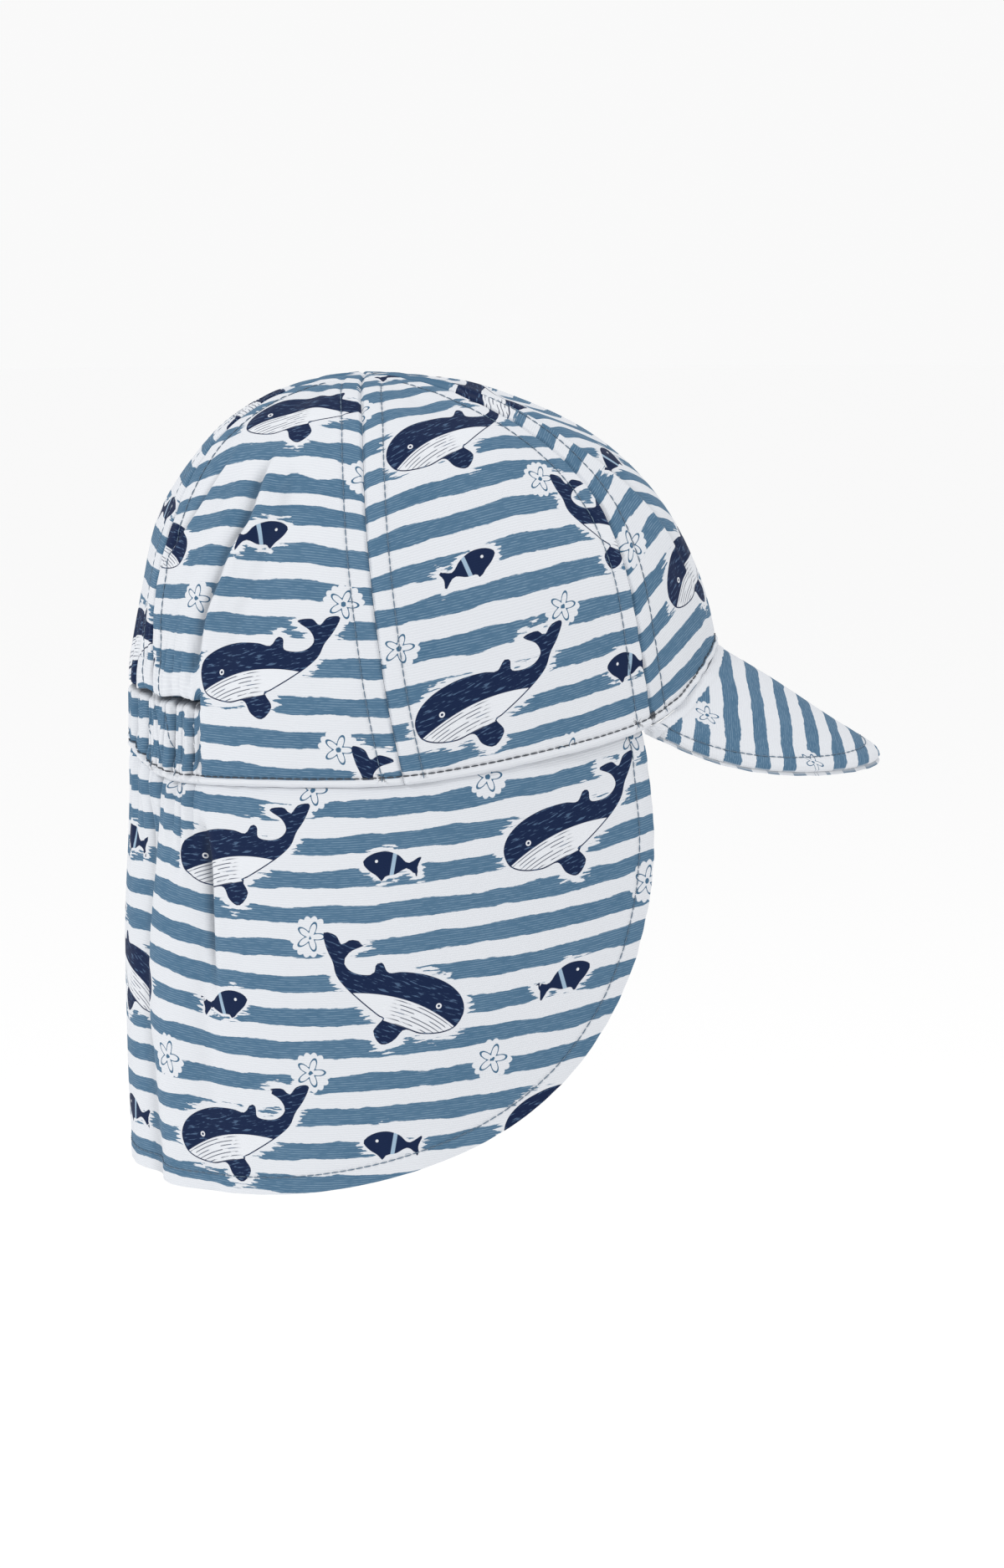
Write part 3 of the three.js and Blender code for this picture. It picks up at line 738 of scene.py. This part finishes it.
def sewing_thread(name, dark, light):
    """Polyester thread: a fine twist along each stitch and a slight gloss."""
    material, tree, shader = new_material(name)
    place = tree.nodes.new("ShaderNodeTexCoord")
    noise = tree.nodes.new("ShaderNodeTexNoise")
    noise.inputs["Scale"].default_value = 900
    tree.links.new(place.outputs["Object"], noise.inputs["Vector"])
    colour = Number(tree, noise.outputs[0]).mix(dark, light)
    tree.links.new(colour, shader.inputs["Base Color"])
    shader.inputs["Roughness"].default_value = 0.55
    return material


BLUE_THREAD = sewing_thread("blue_thread", (0.06, 0.105, 0.16), (0.15, 0.22, 0.3))
DARK_THREAD = sewing_thread("dark_thread", (0.014, 0.018, 0.028), (0.06, 0.07, 0.09))
seam_rows, hem_rows = [], []
for face, from_start, to_end, above in crown_rows:
    out = facing(face)
    used = (from_start[-1] > 3 * SEAM_ROW) & (above[0] > 1.2)
    seam_rows.append(row_on(face, out, from_start, SEAM_ROW, used))
    seam_rows.append(row_on(face[::-1], out[::-1], to_end[::-1], SEAM_ROW, used))
    hem_rows.append(row_on(face.swapaxes(0, 1), out.swapaxes(0, 1), above.T, HEM_ROW))
for side in (-1, 1):
    for step in (0, 0.45, 0.9):
        temple = side * (FRONT_SEAM[0] - 0.6 + step)
        climb = np.linspace(0.004, 0.034, 9)
        line = crown_form(temple, climb)
        out = facing(crown_form(temple + np.array([[-1], [0], [1]]), climb))[1]
        hem_rows.append((line + 0.35 * out, out))
thread_piece("crown_topstitching", SEAM_THREAD, seam_rows, BLUE_THREAD)
thread_piece("hem_topstitching", HEM_THREAD, hem_rows, DARK_THREAD)


# The peak is two layers of the same cloth over a soft filler, sewn together round the edge and
# into the front hem, with a row of stitches inside the edge. Only starfish lie on it.
PEAK_LENGTH = 51.5
PEAK_FALL = 33.4
PEAK_ARCH = 0.4
PEAK_CORNER = -2.2
PEAK_FLARE = 0.7
PEAK_ROUNDNESS = 2.3
PEAK_CURL = 6
PEAK_ROW = 5.6
LAYER_DEPTH = 1.8
PEAK_STRIPE = 8.2
ALLOWANCE = 3.4
UNDER_RIM = 1.1


def peak_form(u, v):
    """The upper face of the peak: u from temple to temple, v from its edge to the hem. The edge is
    a superellipse in plan that dips from the temples to the tip by a power of u, straight lines
    join it to the hem, and a parabola arches them."""
    temple = FRONT_SEAM[0]
    angle = temple * (2 * u - 1) * 0.996
    root = crown_form(angle, 0)
    root[..., 2] -= 0.3
    corner = crown_form(temple, 0)
    tip = crown_form(0, 0) + (PEAK_LENGTH, 0, -PEAK_FALL)
    turn = np.pi / 2 * (2 * u - 1)

    def rounded(value):
        """The superellipse's share of its reach: a power of the sine or the cosine."""
        return np.sign(value) * np.abs(value) ** (2 / PEAK_ROUNDNESS)

    start = corner[0] + PEAK_CORNER
    curl = np.abs(2 * u - 1) ** PEAK_CURL
    edge_x = start + (tip[0] - start) * rounded(np.cos(turn))
    edge_y = (corner[1] + PEAK_FLARE) * rounded(np.sin(turn))
    edge_z = tip[2] + (corner[2] - PEAK_FLARE - tip[2]) * curl
    edge = np.stack([edge_x, edge_y, edge_z], -1)
    place = edge + (root - edge) * v[..., None]
    place[..., 2] += PEAK_ARCH * 4 * v * (1 - v)
    return place


def peak_layer(name, depth, flip):
    """One layer of the peak at a depth under its upper face: rolled down at the edge, pinched by
    the row of stitches, doubled up outside it, and with the torn allowance of the front hem along
    its root. The lower layer is flipped, so that its face looks down, and shows past the rim."""
    u, v = np.meshgrid(np.linspace(0, 1, 241), np.linspace(0, 1, 71), indexing="ij")
    u = u - 0.5 * np.sin(4 * np.pi * u) / (4 * np.pi)
    v = v - 0.5 * np.sin(2 * np.pi * v) / (2 * np.pi)
    smooth = peak_form(u, v)
    out = facing(peak_form(np.clip(u, 0.004, 0.996), v))
    from_edge = run_along(smooth, 1)
    roll = -0.7 * np.exp(-((from_edge / 0.9) ** 2)) - 0.22 * hump(from_edge, PEAK_ROW, 0.8)
    doubled = 0.15 * (1 - soft_step(from_edge, PEAK_ROW - 0.8, PEAK_ROW + 0.8))
    across = run_along(smooth, 0)
    across = across - across[len(across) // 2]
    uneven = wander(across, from_edge, 38, 11) * 0.3 * soft_step(from_edge, 4, 14)
    pucker = wander(across, from_edge * 0.4, 7, 12) * 0.12 * np.exp(-from_edge / 6)
    to_root = from_edge[:, -1:] - from_edge
    torn = ALLOWANCE + wander(across, to_root * 0, 3, 13) * 0.25
    allowance = 0.35 * (1 - soft_step(to_root, torn - 0.2, torn + 0.2))
    relief = (roll + doubled + uneven + pucker + allowance)[..., None]
    # The stripes lie straight across, and near the root they bend back at the sides
    x, y = smooth[..., 0], smooth[..., 1]
    ahead = x + 4.5 * (1 - soft_step(x, 80, 105)) * (y / 62) ** 2
    steps = (ahead - 110) / PEAK_STRIPE
    up = steps * STRIPE_PITCH
    row_distance = np.abs(from_edge - PEAK_ROW)
    above = HEM_ROW + to_root - torn
    marks = cloth_marks(across + 97, up + 72, steps, row_distance, across, above, relief[..., 0])
    marks["whale"][..., 2] = marks["fish"][..., 2] = NO_MOTIF
    if flip:
        outwards = unit(smooth[:, :1] - smooth[:, 8:9])
        rim = UNDER_RIM * outwards * np.exp(-((from_edge / 2) ** 2))[..., None]
        face = (smooth - out * (depth + CLOTH + relief) + rim)[::-1]
        back = (smooth - out * depth)[::-1]
        marks = {mark: values[::-1] for mark, values in marks.items()}
        marks["cloth"] = marks["cloth"] + (0, 6.5, 0)
    else:
        face = smooth + out * (relief - depth)
        back = face - out * CLOTH
    piece = cloth_wall(name + "_cloth", face, back[::2, ::2], marks, PRINTED_CLOTH)
    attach(piece, "root")
    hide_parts(name)
    return face, from_edge


peak_face, peak_distance = peak_layer("peak_top", 0, False)
peak_layer("peak_underside", LAYER_DEPTH, True)
peak_rows = [
    row_on(peak_face.swapaxes(0, 1), facing(peak_face).swapaxes(0, 1), peak_distance.T, PEAK_ROW)
]
thread_piece("peak_topstitching", SEAM_THREAD, peak_rows, BLUE_THREAD)


# The neck flap is one long piece of the cloth, sewn into the hem from temple to temple and hemmed
# all round its free edge. It hangs straight down, with soft folds where the elastic draws it in.
FLAP_DROP = 127.3
FLAP_INSET = 0.8
FLAP_ROUNDNESS = 3.7
FLAP_FULLNESS = 0.44
FOLD_DEPTH = 4.2
FOLD_SLIP = 4.2
FLAP_STRIPE = 10.2
FLAP_ROW = 5.2
FLAP_CLOTH = 0.8
FALL = np.array([0, 0.2, 0.45, 0.75, 1])
FLAP_FRONT = np.array([0.965, 1.012, 1.033, 1.02, 1.01])
FLAP_SIDE = np.array([1, 1.012, 1.025, 1.02, 1])
FLAP_BACK = np.array([1, 1, 1.025, 1.025, 1.005])
FLAP_SPREAD = np.array([1, 0.96, 0.9, 0.86, 0.84])
# Middle and width in degrees, depth as a share, and how much of it is left at the hem and below
FOLDS = [
    (180, 9, 0.35, 0.3, 0.6),
    (161, 6, -1, 0.7, 0.8),
    (149, 7, 0.45, 0.4, 0.9),
    (138, 4.5, -0.55, 0.8, 0.1),
    (118, 12, 0.25, 0, 1),
]
FLAP_HALF_ANGLE = 180 - FRONT_SEAM[0]
# On the wearer's right, heights and the angles that a turned pleat and a crease pass there
PLEAT = np.array([(-130, -157.5), (-80, -158), (-40, -156), (0, -154.5)])
CREASE = np.array([(-130, -134), (-60, -134.5), (-45, -136), (0, -141)])


def flap_edge_height(share):
    """The flap's lower edge: a superellipse from the nape, share 0, to the temples, -1 and 1."""
    return -FLAP_DROP * (1 - np.abs(share) ** FLAP_ROUNDNESS) ** FLAP_FULLNESS


def flap_form(share, height):
    """The smooth hanging flap: at each height an ellipse like the hem's, whose reach and width are
    shares that change as it falls, and whose front edges swing outwards by a power of the sine."""
    angle = 180 + share * FLAP_HALF_ANGLE * 0.998
    hem = hem_height(angle)
    fall = np.clip((hem - height) / (hem + FLAP_DROP), 0, 1)
    turn = np.radians(angle)
    swing = np.sin(turn)
    spread = np.abs(swing) ** through(FALL, FLAP_SPREAD, fall)
    side = (HALF_WIDTH - FLAP_INSET) * through(FALL, FLAP_SIDE, fall)
    front = (FRONT_REACH - FLAP_INSET) * through(FALL, FLAP_FRONT, fall)
    behind = (BACK_REACH - FLAP_INSET) * through(FALL, FLAP_BACK, fall)
    reach = np.where(np.cos(turn) > 0, front, behind)
    lean = -CROWN_LEAN * hem / CROWN_HEIGHT
    return np.stack([lean + reach * np.cos(turn), side * np.sign(swing) * spread, height], -1)


def flap_shares(columns):
    """Shares round the flap, evenly spaced along its outline from temple to temple."""
    fine = np.linspace(-1, 1, 4001)
    width = HALF_WIDTH * np.radians(FLAP_HALF_ANGLE)
    outline = np.stack([fine * width, flap_edge_height(fine)], -1)
    lengths = run_along(outline[:, None], 0)[:, 0]
    return np.interp(np.linspace(0, lengths[-1], columns), lengths, fine)


share, v = np.meshgrid(flap_shares(561), np.linspace(0, 1, 113), indexing="ij")
v = v - 0.55 * np.sin(2 * np.pi * v) / (2 * np.pi)
angle = 180 + share * FLAP_HALF_ANGLE
hem_line = hem_height(angle) - 0.3
height = flap_edge_height(share) * (1 - v) + hem_line * v
smooth = flap_form(share, height)
ahead = flap_form(np.clip(share + 0.01, -1, 1), height)
ahead = ahead - flap_form(np.clip(share - 0.01, -1, 1), height)
level_out = unit(np.stack([ahead[..., 1], -ahead[..., 0], np.zeros_like(height)], -1))

# Soft folds all the way down, and on the near side the pleat and the crease, each a bell or a
# sharp step across that fades out along its length
folds = 0
for middle, width, depth, at_hem, at_edge in FOLDS:
    left = at_hem * v + at_edge * (1 - v)
    folds = folds + FOLD_DEPTH * depth * hump(turned(angle), middle, width) * left
to_right = (angle % 360) - 360
past_pleat = past_fold(to_right, height, PLEAT)
past_crease = past_fold(to_right, height, CREASE)
pleat_left = soft_step(height, -100, -70) * soft_step(hem_line - height, 1, 8)
turned_edge = 1.9 * np.exp(-np.maximum(past_pleat, 0) / 6) * soft_step(past_pleat, -0.6, 0.3)
folds = folds + (turned_edge - 1.1 * hump(past_pleat, -1.6, 1.4)) * pleat_left
crease_left = soft_step(height, -75, -45) * soft_step(hem_line - height, 1, 8)
folds = folds + (1.1 * hump(past_crease, 2.6, 2) - 1.7 * hump(past_crease, 0, 1.3)) * crease_left
slip = np.clip(past_crease / (past_crease - past_pleat), 0, 1) * (past_pleat > 0) * (angle > 180)

# The flap laid flat: the run round it is taken halfway down, and its free edge is one line
round_hat = np.linspace(0, 360, 721)
halfway = flap_form((round_hat - 180) / FLAP_HALF_ANGLE, np.full(721, -60.0))
flat_run = np.interp(angle, round_hat, run_along(halfway[:, None], 0)[:, 0])
flat_run = flat_run - np.interp(180, angle[:, 0], flat_run[:, 0])
fine_share = np.linspace(-1, 1, 801)
edge_line = np.stack(
    [np.interp(fine_share, share[:, 0], flat_run[:, 0]), flap_edge_height(fine_share)], -1
)
front_edge = np.linspace(0, 1, 12)[1:, None] * (0, hem_line[0, 0])
edge_line = np.concatenate(
    [(edge_line[0] + front_edge)[::-1], edge_line, edge_line[-1] + front_edge]
)


def line_distance(places, line):
    """The distance of places from an open line, and the run along it to the nearest point."""
    start, way = line[:-1], np.diff(line, axis=0)
    lengths = run_along(line[:, None], 0)[:-1, 0]
    distance, run = np.empty(len(places)), np.empty(len(places))
    for part in np.array_split(np.arange(len(places)), 40):
        offset = places[part, None] - start
        along = np.clip((offset * way).sum(-1) / (way**2).sum(-1), 0, 1)
        gaps = np.linalg.norm(offset - along[..., None] * way, axis=-1)
        nearest = gaps.argmin(1)
        pick = np.arange(len(part))
        distance[part] = gaps[pick, nearest]
        run[part] = lengths[nearest] + along[pick, nearest] * np.linalg.norm(way[nearest], axis=-1)
    return distance, run


from_edge, edge_run = line_distance(np.stack([flat_run.ravel(), height.ravel()], -1), edge_line)
from_edge, edge_run = from_edge.reshape(share.shape), edge_run.reshape(share.shape)
below_hem = hem_line - height
hem_ridge = 0.2 * (1 - soft_step(from_edge, FLAP_ROW - 0.7, FLAP_ROW + 0.7))
hem_ridge = hem_ridge - 0.2 * hump(from_edge, FLAP_ROW, 0.7)
pucker = wander(edge_run, from_edge * 0.4, 9, 21) * 0.16 * np.exp(-from_edge / 7)
under_hem = -1.3 * np.exp(-below_hem / 2.5) + 0.3 * hump(below_hem, 6, 4)
slack = wander(flat_run, height * 0.5, 60, 22) * 0.8 * soft_step(below_hem, 5, 40)
relief = folds * soft_step(below_hem, 0, 25) + ripple(angle) * (1 - soft_step(below_hem, 0, 42))
relief = relief + hem_ridge + pucker + under_hem + slack
face = smooth + level_out * relief[..., None]

# The stripes climb towards the temples, and step where the cloth is taken up in the pleat
rise = 14 * np.clip((np.abs(angle - 180) - 60) / 77, 0, 1.2) ** 1.5
flap_up = height - rise - FOLD_SLIP * slip * pleat_left
steps = (flap_up + 9) / FLAP_STRIPE
row_distance = np.abs(from_edge - FLAP_ROW)
print_above = np.full_like(height, 40)  # No plain strip of the crown's hem here
marks = cloth_marks(
    flat_run + 62, flap_up + 44, steps, row_distance, edge_run, print_above, relief
)
thickness = FLAP_CLOTH + 0.35 * (1 - soft_step(from_edge, FLAP_ROW - 0.7, FLAP_ROW + 0.7))
back = (face - level_out * thickness[..., None])[::2, ::2]
neck_flap = cloth_wall("neck_flap_cloth", face, back, marks, PRINTED_CLOTH)
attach(neck_flap, "root")
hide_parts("neck_flap")
drop = hem_line[:, 0] - height[:, 0]
flap_area = ((drop[1:] + drop[:-1]) / 2 * np.diff(flat_run[:, 0])).sum() / 1e6

slope = np.gradient(edge_line, axis=0)
row_flat = edge_line + unit(np.stack([-slope[:, 1], slope[:, 0]], -1)) * FLAP_ROW


def on_flap(row):
    """The places of a line given on the flat flap: the share from the run round it, the height as
    it is, and the point of the face's grid nearest to both, blended with its three neighbours."""
    row_share = np.interp(row[:, 0], flat_run[:, 0], share[:, 0])
    top = hem_height(180 + row_share * FLAP_HALF_ANGLE) - 0.3
    low = flap_edge_height(row_share)
    want_v = (row[:, 1] - low) / (top - low)
    i = np.interp(row_share, share[:, 0], np.arange(share.shape[0]))
    j = np.interp(want_v, v[0], np.arange(v.shape[1]))
    keep = (want_v > 0) & (want_v < 0.985)
    i, j = i[keep], j[keep]
    i0 = np.minimum(i.astype(int), face.shape[0] - 2)
    j0 = np.minimum(j.astype(int), face.shape[1] - 2)
    a, b = (i - i0)[:, None], (j - j0)[:, None]
    normals = facing(face)

    def blend(grid):
        """The grid at the places, by shares of the four points round each."""
        low_side = grid[i0, j0] * (1 - b) + grid[i0, j0 + 1] * b
        high_side = grid[i0 + 1, j0] * (1 - b) + grid[i0 + 1, j0 + 1] * b
        return low_side * (1 - a) + high_side * a

    return blend(face), blend(normals)


thread_piece("flap_hem_stitching", SEAM_THREAD, [on_flap(row_flat)], BLUE_THREAD)


# A pale floor and even light round a hat that is held up, as by a head
FLOOR_LEVEL = -0.36
floor_material, _, floor_shader = new_material("pale_floor")
floor_shader.inputs["Base Color"].default_value = (0.55, 0.55, 0.55, 1)
floor_shader.inputs["Emission Color"].default_value = (1, 1, 1, 1)
floor_shader.inputs["Emission Strength"].default_value = 0.48
floor_shader.inputs["Roughness"].default_value = 0.9
floor_corners = [(x, y, FLOOR_LEVEL) for x, y in ((-6, -6), (6, -6), (6, 6), (-6, 6))]
floor = add_mesh("floor", np.array(floor_corners), [(0, 1, 2, 3)], floor_material)

world = bpy.data.worlds.new("studio")
world.use_nodes = True
sky = world.node_tree.nodes["Background"]
direction = world.node_tree.nodes.new("ShaderNodeTexCoord")
height = world.node_tree.nodes.new("ShaderNodeSeparateXYZ")
world.node_tree.links.new(direction.outputs["Generated"], height.inputs[0])
brightness = Number(world.node_tree, height.outputs[2]).between(0.08, 0.45) * -0.17 + 0.95
world.node_tree.links.new(brightness.socket, sky.inputs["Strength"])
sky.inputs["Color"].default_value = (1, 1, 1, 1)
bpy.context.scene.world = world


def softbox(name, place, aim, size, power):
    """A square area light at a place, turned to its aim."""
    light = bpy.data.lights.new(name, "AREA")
    light.size = size
    light.energy = power
    lamp = bpy.data.objects.new(name, light)
    lamp.location = place
    lamp.rotation_euler = Vector(np.subtract(aim, place)).to_track_quat("-Z", "Y").to_euler()
    bpy.context.scene.collection.objects.link(lamp)


softbox("key_light", (-0.75, -1.0, 0.95), (0, 0, 0), 0.3, 4.6)
softbox("fill_light", (1.3, -0.8, 0.6), (0, 0, 0), 0.7, 3)
softbox("top_light", (0.15, 0.1, 1.3), (0, 0, 0), 0.8, 3.4)
softbox("back_light", (-1.3, -0.35, -0.1), (0, 0, -0.03), 0.6, 2.6)

# The camera stands at the wearer's right, ten degrees up and a little behind
CAMERA_TARGET = np.array([0.026, 0, -0.0125])
CAMERA_DISTANCE = 1.34
elevation, azimuth = np.radians(10), np.radians(-3)
camera_back = np.array([
    np.sin(azimuth) * np.cos(elevation),
    -np.cos(azimuth) * np.cos(elevation),
    np.sin(elevation),
])  # fmt: skip
camera_data = bpy.data.cameras.new("camera")
camera_data.lens = 100
camera_data.sensor_width = 36
camera_data.clip_end = 30
camera = bpy.data.objects.new("camera", camera_data)
camera.location = CAMERA_TARGET + camera_back * CAMERA_DISTANCE
camera.rotation_euler = Vector(-camera_back).to_track_quat("-Z", "Y").to_euler()
bpy.context.scene.collection.objects.link(camera)
bpy.context.scene.camera = camera
bpy.context.scene.view_settings.view_transform = "Standard"
